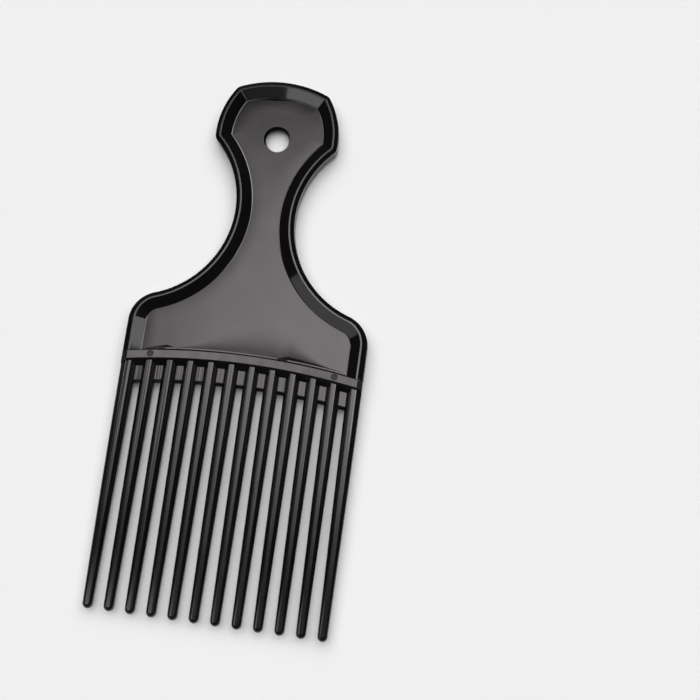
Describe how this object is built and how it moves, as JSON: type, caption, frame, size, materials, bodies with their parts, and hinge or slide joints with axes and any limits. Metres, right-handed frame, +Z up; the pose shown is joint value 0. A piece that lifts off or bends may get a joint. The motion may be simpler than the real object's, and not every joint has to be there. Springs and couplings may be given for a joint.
{
  "type": "afro pick",
  "caption": "Flat glossy plastic hair pick: long straight tapering teeth under an arched band, a waisted handle with a raised bevelled rim and a round hang hole.",
  "frame": {"origin": "middle of the bounding box on the underside, where the pick lies flat on a surface", "axes": "+Y along the length from the teeth to the handle, +X across the width, +Z up through the thickness"},
  "size_m": [0.0724, 0.1646, 0.0058],
  "materials": {
    "black_plastic": "gloss"
  },
  "bodies": {
    "root": {"handle_panel": "black_plastic", "crown_rim": "black_plastic", "spine_band": "black_plastic", "head_rim_left": "black_plastic", "neck_rim_left": "black_plastic", "shoulder_rim_left": "black_plastic", "head_rim_right": "black_plastic", "neck_rim_right": "black_plastic", "shoulder_rim_right": "black_plastic", "tooth_01": "black_plastic", "tooth_02": "black_plastic", "tooth_03": "black_plastic", "tooth_04": "black_plastic", "tooth_05": "black_plastic", "tooth_06": "black_plastic", "tooth_07": "black_plastic", "tooth_08": "black_plastic", "tooth_09": "black_plastic", "tooth_10": "black_plastic", "tooth_11": "black_plastic", "tooth_12": "black_plastic", "root_web_01": "black_plastic", "root_web_02": "black_plastic", "root_web_03": "black_plastic", "root_web_04": "black_plastic", "root_web_05": "black_plastic", "root_web_06": "black_plastic", "root_web_07": "black_plastic", "root_web_08": "black_plastic", "root_web_09": "black_plastic", "root_web_10": "black_plastic", "root_web_11": "black_plastic"}
  },
  "joints": []
}
